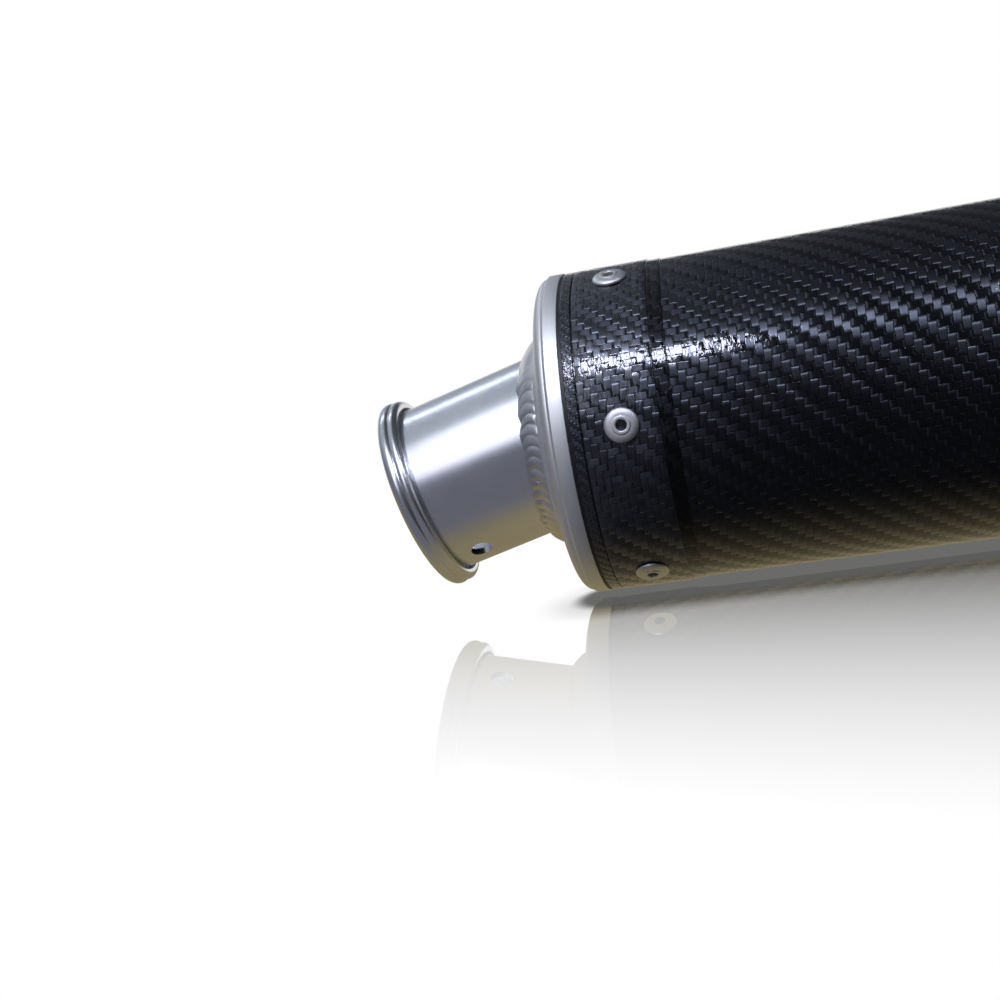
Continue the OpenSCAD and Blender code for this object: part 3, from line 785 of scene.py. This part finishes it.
@dataclass
class EndCap:
    """A turned cap, the pipe that is welded through it, and the weld's rippled bead."""

    layout: Layout
    shop: Shop
    outlet: bool
    pipe_axis: Axis
    pipe_r: float
    spigot_r: float = 45.85
    spigot_length: float = 24.0
    wall: float = 2.5
    rim_r: float = 48.1
    rim_back: float = 0.9
    rim_width: float = 4.6
    chamfer: float = 0.7
    shoulder_width: float = 4.7
    shoulder_height: float = 3.0
    face_slope: float = 15.0
    weld_leg: float = 5.3
    ripple_pitch: float = 2.9
    ripple_height: float = 0.48
    seed: int = 7

    def face_at(self, r: Array) -> Array:
        """Distance of the coned face in front of the sleeve's end, at radius r."""
        shoulder_r = self.rim_r - self.chamfer - self.shoulder_width
        top = self.rim_back + self.rim_width + self.shoulder_height
        return top + (shoulder_r - r) * math.tan(math.radians(self.face_slope))

    def meet(self, angle: Array, reach: float) -> Array:
        """Radius on the coned face, at each angle, where it is reach away from the pipe's axis.

        The distance from the pipe's axis grows with the radius, so halving the interval finds it.
        """
        low, high = np.full_like(angle, 5.0), np.full_like(angle, self.rim_r)
        axis = self.layout.end(self.outlet)
        along = np.array(self.pipe_axis.along)
        for _ in range(40):
            middle = (low + high) / 2
            offset = axis.place(middle, angle, self.face_at(middle)) - np.array(self.pipe_axis.origin)
            across = offset - (offset @ along)[..., None] * along
            inside = np.linalg.norm(across, axis=-1) < reach
            low, high = np.where(inside, middle, low), np.where(inside, high, middle)
        return (low + high) / 2

    def shell(self) -> None:
        """The cap: a closed section whose inner edge follows the pipe all the way round."""
        front = self.rim_back + self.rim_width
        shoulder_r = self.rim_r - self.chamfer - self.shoulder_width
        sweep = np.radians(np.linspace(0.0, 90.0, 17))
        shoulder = np.stack([self.rim_r - self.chamfer - self.shoulder_width * (1.0 - np.cos(sweep)),
                             front + self.shoulder_height * np.sin(sweep)], axis=1)
        bore, back = self.spigot_r - self.wall, -1.5
        inner = np.array([[bore - 2.0, front - 0.5], [bore - 2.0, back]])
        outside = np.concatenate([
            [[bore, back], [bore, -self.spigot_length], [self.spigot_r, -self.spigot_length],
             [self.spigot_r, self.rim_back]],
            arc((self.rim_r - 0.2, self.rim_back + 0.2), 0.2, 270.0, 360.0, 4),
            arc((self.rim_r - 0.15, front - self.chamfer - 0.06), 0.15, 0.0, 45.0, 3), shoulder,
        ])
        angle = np.arange(288) * TURN / 288
        hole = self.meet(angle, self.pipe_r + 0.05)[None, :]
        share = np.linspace(0.0, 1.0, 9)[1:, None]
        cone_r = shoulder_r * (1.0 - share) + hole * share
        fixed, inside = (np.repeat(part[:, :, None], len(angle), axis=2) for part in (outside, inner))
        edge = self.face_at(hole) - self.wall
        radius = np.concatenate([fixed[:, 0], cone_r, hole, inside[:, 0]])
        distance = np.concatenate([fixed[:, 1], self.face_at(cone_r), edge, inside[:, 1]])
        points = self.layout.end(self.outlet).place(radius, angle, distance)
        name = end_name(self.outlet)
        cap = Surface().grid(points, wrap_rows=True).make(
            f"{name}_cap_turned", self.shop.finish(TURNED), sharp=28.0)
        put(cap, "can", "turned_aluminium", f"{name}_cap")

    def weld(self) -> None:
        """The bead: a fillet over the corner between pipe and face, rippled like a row of coins.

        Across the bead, w runs from the pipe's side to the face's side. The section is the straight
        line between its two toes, raised by rise * (1 - (2w - 1)^2). Along the bead, each ripple is a
        lens: its height falls off as |2t - 1|^2.4, where t is the fraction of the way through a pitch,
        and the pitches lag behind in the middle of the bead, which bends them into crescents. The
        upper side was welded in one smooth pass, so the ripples only grow from there down.
        """
        draw = np.random.default_rng(self.seed)
        steps, across = 960, 22
        angle = np.arange(steps) * TURN / steps
        corner_r = self.meet(angle, self.pipe_r)
        axis = self.layout.end(self.outlet)
        corner = axis.place(corner_r, angle, self.face_at(corner_r))
        length = np.concatenate([[0.0], np.cumsum(np.linalg.norm(np.diff(corner, axis=0), axis=1))])
        total = length[-1] + np.linalg.norm(corner[0] - corner[-1])
        ripples = round(total / self.ripple_pitch)
        jitter = draw.normal(0.0, 1.0, (3, ripples))
        looped = np.concatenate([jitter, jitter[:, :1]], axis=1)
        phase = length / total * ripples
        slow, late = (np.interp(phase, np.arange(ripples + 1), row) for row in looped[:2])
        leg_pipe = self.weld_leg * (0.86 + 0.06 * slow)
        leg_face = self.weld_leg * (0.98 + 0.05 * np.roll(slow, 40))
        toe_pipe = corner + leg_pipe[:, None] * np.array(self.pipe_axis.along)
        toe_r = corner_r + leg_face
        toe_face = axis.place(toe_r, angle, self.face_at(toe_r))
        middle = (toe_pipe + toe_face) / 2 - corner
        outward = middle / np.linalg.norm(middle, axis=1)[:, None]
        w = np.linspace(0.0, 1.0, across)[:, None]
        bulge = 1.0 - (2.0 * w - 1.0) ** 2
        lagged = phase[None, :] - 0.55 * bulge + 0.10 * late[None, :]
        index = np.floor(lagged).astype(int) % ripples
        t = lagged - np.floor(lagged)
        lens = 1.0 - np.abs(2.0 * t - 1.0) ** 2.4
        drop = 0.5 - 0.5 * np.cos(angle)          # 0 at the top of the bead, 1 at its lowest point
        down = np.clip((drop - 0.16) / 0.20, 0.0, 1.0)
        dabs = 0.10 + 0.90 * (down * down * (3.0 - 2.0 * down))[None, :]
        height = self.ripple_height * dabs * (1.0 + 0.25 * jitter[2][index]) * lens * bulge ** 0.5
        rise = 0.45 * bulge + height
        chord = toe_pipe[None] * (1 - w)[..., None] + toe_face[None] * w[..., None]
        top = chord + rise[..., None] * outward[None]
        sunk = corner - 0.3 * outward
        name = end_name(self.outlet)
        bead = Surface().grid(np.concatenate([top, sunk[None]]), wrap_rows=True).make(
            f"{name}_weld_bead", self.shop.finish(WELD), sharp=60.0)
        put(bead, "can", "weld_metal", f"{name}_weld")

    def build(self) -> None:
        """Make the cap and its weld."""
        self.shell()
        self.weld()


@dataclass
class OutletPipe:
    """The turned-down outlet: a drawn tube with a drilled hole and a mouth rolled into two beads."""

    layout: Layout
    shop: Shop
    radius: float = 26.0
    wall: float = 2.0
    reach: float = 47.7
    lip_width: float = 6.7
    lip_height: float = 4.0
    hole_r: float = 3.3
    hole_back: float = 14.9
    hole_angle: float = 210.0      # round the pipe from its upper side
    inner_end: float = 9.3         # distance of its trimmed end in front of the sleeve
    segments: int = 256
    window: int = 8                # half the width of the patch round the hole, in segments

    def lip(self) -> Array:
        """The rolled mouth, from the bore round the front bead and the rear bead to under the lip.

        The two beads are circles that cross. With d the distance between their centres, their
        crossing lies a = (r1^2 - r2^2 + d^2) / 2d from the front one's centre, along the line
        between them, which gives the angle where each arc stops.
        """
        front_r, rear_r = self.lip_width * 0.35, self.lip_width * 0.28
        top, bore = self.radius + self.lip_height, self.radius - self.wall
        front_at = np.array([top - front_r, self.reach - front_r])
        rear_at = np.array([top - rear_r - 0.3, self.reach - self.lip_width + rear_r])
        between = rear_at - front_at
        d = float(np.hypot(*between))
        a = (front_r ** 2 - rear_r ** 2 + d ** 2) / (2.0 * d)
        way = math.degrees(math.atan2(between[1], between[0]))
        stop = way + math.degrees(math.acos(a / front_r))
        start = way + 180.0 - math.degrees(math.acos((d - a) / rear_r))
        flare = top - front_r - bore
        mouth = arc((bore + flare, self.reach - flare), flare, 180.0, 90.0, 16)
        front = arc(tuple(front_at), front_r, 90.0, stop, 24)[1:]
        rear = arc(tuple(rear_at), rear_r, start, -115.0, 24)[1:]
        under = [[self.radius + 0.25, self.reach - self.lip_width + 2.0 * rear_r - 1.0],
                 [self.radius, self.reach - self.lip_width + 2.0 * rear_r - 1.6]]
        return np.concatenate([mouth, front, rear, under])

    def patch(self, surface: Surface, axis: Axis, radius: float, low: float, high: float) -> Array:
        """One wall's square round the hole: rings that blend from the square's edge to the hole.

        A point is kept as its straight offset across the hole's axis and its distance along the pipe,
        so that the hole is as round as a drill leaves it. Its angle is the arcsine of offset / radius.

        Args:
            surface: what to add it to.
            axis: the pipe's axis.
            radius: the wall's radius.
            low: the square's near edge along the pipe.
            high: its far edge.

        Returns:
            The points of the hole's edge.
        """
        n, step = self.window, TURN / self.segments
        side = radius * np.sin(np.arange(-n, n + 1) * step)
        run = np.linspace(low, high, 2 * n + 1)
        centre = self.reach - self.hole_back
        walk = ((side[:-1], low), (side[-1], run[:-1]), (side[:0:-1], high), (side[0], run[:0:-1]))
        edge = np.concatenate([np.stack(np.broadcast_arrays(*leg), axis=1) for leg in walk])
        edge = edge - np.array([0.0, centre])
        hole = self.hole_r * edge / np.linalg.norm(edge, axis=1)[:, None]
        share = np.linspace(0.0, 1.0, 9)[:, None, None] ** 0.8
        flat = edge[None] * (1.0 - share) + hole[None] * share
        angle = math.radians(self.hole_angle) + np.arcsin(flat[..., 0] / radius)
        points = axis.place(radius, angle, flat[..., 1] + centre)
        surface.grid(points)
        return points[-1]

    def build(self) -> None:
        """Make the pipe: its lip, two walls in three zones each, the hole's wall and the trimmed end.

        The trimmed end lies in a plane square to the can, so at an angle a round the pipe it is s along
        the axis, where axis_cross + s cos(turn) + r cos(a) sin(turn) = inner_end.
        """
        axis, surface = self.layout.outlet(), Surface()
        step, n = TURN / self.segments, self.window
        start = math.radians(self.hole_angle) + n * step
        ring = start + np.arange(self.segments) * step
        centre, half = self.reach - self.hole_back, 5.4
        low, high = centre - half, centre + half
        lip = self.lip()
        surface.grid(axis.place(lip[:, :1], ring, lip[:, 1:]))
        open_ring = start + np.arange(self.segments - 2 * n + 1) * step
        turn = math.radians(self.layout.outlet_turn)
        gap = self.inner_end - self.layout.axis_cross
        edges, ends = [], []
        for r, last in ((self.radius, lip[-1, 1]), (self.radius - self.wall, lip[0, 1])):
            trim = (gap - r * np.cos(ring) * math.sin(turn)) / math.cos(turn)
            share = np.linspace(0.0, 1.0, 13)[:, None]
            near = trim[None] * (1.0 - share) + low * share
            for rows in (near, np.linspace(high, last, 4)[:, None]):
                surface.grid(axis.place(r, ring, rows))
            rows = np.linspace(low, high, 2 * n + 1)[:, None]
            surface.grid(axis.place(r, open_ring, rows), wrap_columns=False)
            edges.append(self.patch(surface, axis, r, low, high))
            ends.append(axis.place(r, ring, trim))
        surface.grid(np.stack(edges))
        surface.grid(np.stack(ends))
        pipe = surface.make("outlet_pipe_rolled", self.shop.finish(DRAWN), sharp=40.0)
        put(pipe, "can", "brushed_aluminium", "outlet_pipe")


@dataclass
class Rivets:
    """A ring of set blind rivets: a domed flange, a raised collar, and the open mandrel hole."""

    layout: Layout
    shop: Shop
    outlet: bool
    count: int = 6
    band_r: float = 48.1
    inset: float = 14.0
    body_r: float = 2.4
    head_r: float = 4.75
    head_height: float = 1.6
    hole_r: float = 1.5
    collar_r: float = 2.55
    tail: float = 7.7
    tail_bulge: float = 3.3
    grip: float = 4.95

    def profile(self) -> Array:
        """The section: up the hole, over the collar's lip, down the dome, and back along the body."""
        top = self.head_height
        dome = np.radians(np.linspace(90.0, 8.0, 14))
        shoulder = np.stack([self.collar_r + 0.15 + (self.head_r - self.collar_r - 0.15) * np.cos(dome),
                             0.35 + (top - 0.62) * np.sin(dome)], axis=1)
        return np.concatenate([
            [[self.hole_r, -self.tail], [self.hole_r, top - 0.45]],
            arc((self.hole_r + 0.3, top - 0.3), 0.3, 180.0, 90.0, 6)[1:],
            arc((self.collar_r - 0.28, top - 0.28), 0.28, 90.0, 10.0, 6), shoulder,
            [[self.head_r - 0.02, 0.12], [self.head_r - 0.25, 0.0], [self.body_r, 0.0],
             [self.body_r, -self.grip], [self.tail_bulge, -self.grip - 0.15],
             [self.tail_bulge, -self.grip - 1.6], [self.body_r, -self.tail]],
        ])

    def build(self) -> None:
        """Turn one rivet at each of its places round the band."""
        end = self.layout.end(self.outlet)
        surface = Surface()
        for i in range(self.count):
            spoke = math.radians(360.0 * i / self.count)
            out = np.array([0.0, math.cos(spoke), math.sin(spoke)])
            foot = np.array(end.origin) - self.inset * np.array(end.along) + self.band_r * out
            axis = Axis(tuple(foot), tuple(out), end.along)
            turned(surface, axis, self.profile(), 48)
        name = end_name(self.outlet)
        heads = surface.make(f"{name}_rivet_heads", self.shop.finish(RIVET), sharp=38.0)
        put(heads, "can", "rivet_aluminium", f"{name}_rivets")


@dataclass
class Fittings:
    """The pieces whose CAD shape is already right: they only take their finish."""

    shop: Shop

    def build(self) -> None:
        """Dress each node."""
        finishes = {
            SEALANT: ("outlet_seal", "inlet_seal"),
            STAINLESS: ("inlet_pipe", "core_tube", "outlet_core_plate", "inlet_core_plate", "clamp_band"),
            WOOL: ("steel_wool",),
            PACKING: ("fibre_packing",),
            LINER: ("strap_liner",),
            STRAP: ("mount_strap",),
            PLATED: ("outlet_rivet_mandrels", "inlet_rivet_mandrels", "strap_bolt", "strap_nut",
                     "strap_washers", "clamp_bolt", "clamp_nut", "clamp_washers"),
        }
        for finish, nodes in finishes.items():
            for node in nodes:
                dress(node, self.shop.finish(finish))


# ---- The studio ----


@dataclass(frozen=True)
class Softbox:
    """A rectangular lamp: where it hangs from the outlet's joint, where it points, and its size."""

    name: str
    at: tuple[float, float, float]
    aim: tuple[float, float, float]
    size: tuple[float, float]
    power: float
    colour: str

    def hang(self, joint: Vector) -> None:
        """Add the lamp to the scene."""
        lamp = bpy.data.lights.new(self.name, "AREA")
        lamp.shape = "RECTANGLE"
        lamp.size, lamp.size_y = self.size[0] * MM, self.size[1] * MM
        lamp.energy = self.power
        lamp.color = linear(self.colour)[:3]
        obj = bpy.data.objects.new(self.name, lamp)
        obj.location = joint + Vector(self.at) * MM
        direction = Vector(self.aim) * MM - Vector(self.at) * MM
        obj.rotation_euler = direction.to_track_quat("-Z", "Y").to_euler()
        obj.visible_camera = False
        bpy.context.scene.collection.objects.link(obj)


SOFTBOXES = (
    Softbox("wide softbox", (-205.0, -413.0, 336.0), (-205.0, -30.0, 15.0), (250.0, 530.0), 0.73, "f1f3ff"),
    Softbox("joint softbox", (-25.0, -357.0, 336.0), (-25.0, -30.0, 15.0), (100.0, 70.0), 0.95, "e2e6ff"),
    Softbox("far softbox", (300.0, -320.0, 400.0), (300.0, -30.0, 15.0), (80.0, 80.0), 0.60, "eceeff"),
    Softbox("top strip", (-295.0, 245.0, 457.0), (-295.0, 0.0, 0.0), (240.0, 24.0), 0.16, "e4efff"),
)


@dataclass
class Camera:
    """The viewpoint: offsets from the middle of the joint between the outlet cap and the sleeve."""

    at: tuple[float, float, float] = (51.25, -392.98, -4.70)
    forward: tuple[float, float, float] = (-0.20653, 0.97801, -0.02912)
    up: tuple[float, float, float] = (0.14130, 0.05927, 0.98819)
    lens: float = 46.9

    def build(self, joint: Vector) -> None:
        """Add the camera and make it the scene's."""
        data = bpy.data.cameras.new("camera")
        data.lens, data.sensor_width = self.lens, 36.0
        data.clip_start, data.clip_end = 0.01, 50.0
        obj = bpy.data.objects.new("camera", data)
        forward, up = Vector(self.forward).normalized(), Vector(self.up).normalized()
        right = forward.cross(up).normalized()
        up = right.cross(forward)
        turn = Matrix((right, up, -forward)).transposed().to_4x4()
        obj.matrix_world = Matrix.Translation(joint + Vector(self.at) * MM) @ turn
        bpy.context.scene.collection.objects.link(obj)
        bpy.context.scene.camera = obj


def build_world() -> None:
    """Light the room by direction: bluish above, dim and cool in front, and a white sweep low behind."""
    world = bpy.data.worlds.new("studio")
    bpy.context.scene.world = world
    world.use_nodes = True
    tree = world.node_tree
    tree.nodes.clear()
    g = Graph(tree)
    way = add(tree, "SeparateXYZ", {0: add(tree, "TexCoord").outputs["Generated"]})
    high = g.smooth(way.outputs[2], 0.10, 0.85)
    overhead = g.blend(g.smooth(way.outputs[0], -0.40, 0.05), linear("b4bbc6"), linear("484b50"))
    level = g.blend(g.smooth(way.outputs[0], -0.30, -0.10), linear("74768a"), linear("3c3d43"))
    room = g.blend(high, level, overhead)
    low = g.op("MULTIPLY", g.smooth(way.outputs[2], 0.28, 0.44, 1.0, 0.0),
               g.smooth(way.outputs[2], -0.12, -0.04))
    sweep = g.op("MULTIPLY", low, g.smooth(way.outputs[1], 0.45, 0.75))
    room = g.blend(sweep, room, linear("ffffff"))
    path = add(tree, "LightPath")
    colour = g.blend(path.outputs["Is Camera Ray"], room, linear("ffffff"))
    both = add(tree, "Background", {"Color": colour, "Strength": 1.0})
    add(tree, "OutputWorld", {"Surface": both.outputs[0]})


def build_stage(layout: Layout, rim_r: float) -> None:
    """Lay the floor under the can's rim, whose radius is rim_r, hang the lamps and set the camera."""
    studio = Studio()
    half = studio.floor_half * MM
    joint = Vector((layout.outlet_x * MM, 0.0, 0.0))
    level = -(rim_r + studio.stand_off) * MM
    mesh = bpy.data.meshes.new("floor")
    corners = [(-half, -half, level), (half, -half, level), (half, half, level), (-half, half, level)]
    mesh.from_pydata([Vector(c) for c in corners], [], [(0, 1, 2, 3)])
    mesh.materials.append(studio.floor_material(layout.outlet_x, layout.inlet_x))
    floor = bpy.data.objects.new("floor", mesh)
    bpy.context.scene.collection.objects.link(floor)
    for softbox in SOFTBOXES:
        softbox.hang(joint)
    Camera().build(joint)
    build_world()
    bpy.context.scene.view_settings.view_transform = "Standard"


def main() -> None:
    """Build the object in order, then the studio."""
    logging.basicConfig(level=logging.INFO, format="%(message)s")
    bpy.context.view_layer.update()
    layout, shop = Layout.read(), Shop()
    CarbonCan(layout, shop).build()
    EndCap(layout, shop, outlet=True, pipe_axis=layout.outlet(), pipe_r=26.0).build()
    EndCap(layout, shop, outlet=False, pipe_axis=layout.end(False), pipe_r=27.0, seed=11).build()
    OutletPipe(layout, shop).build()
    for outlet in (True, False):
        Rivets(layout, shop, outlet).build()
    Fittings(shop).build()
    build_stage(layout, rim_r=48.1)
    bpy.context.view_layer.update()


if __name__ == "__main__":
    main()
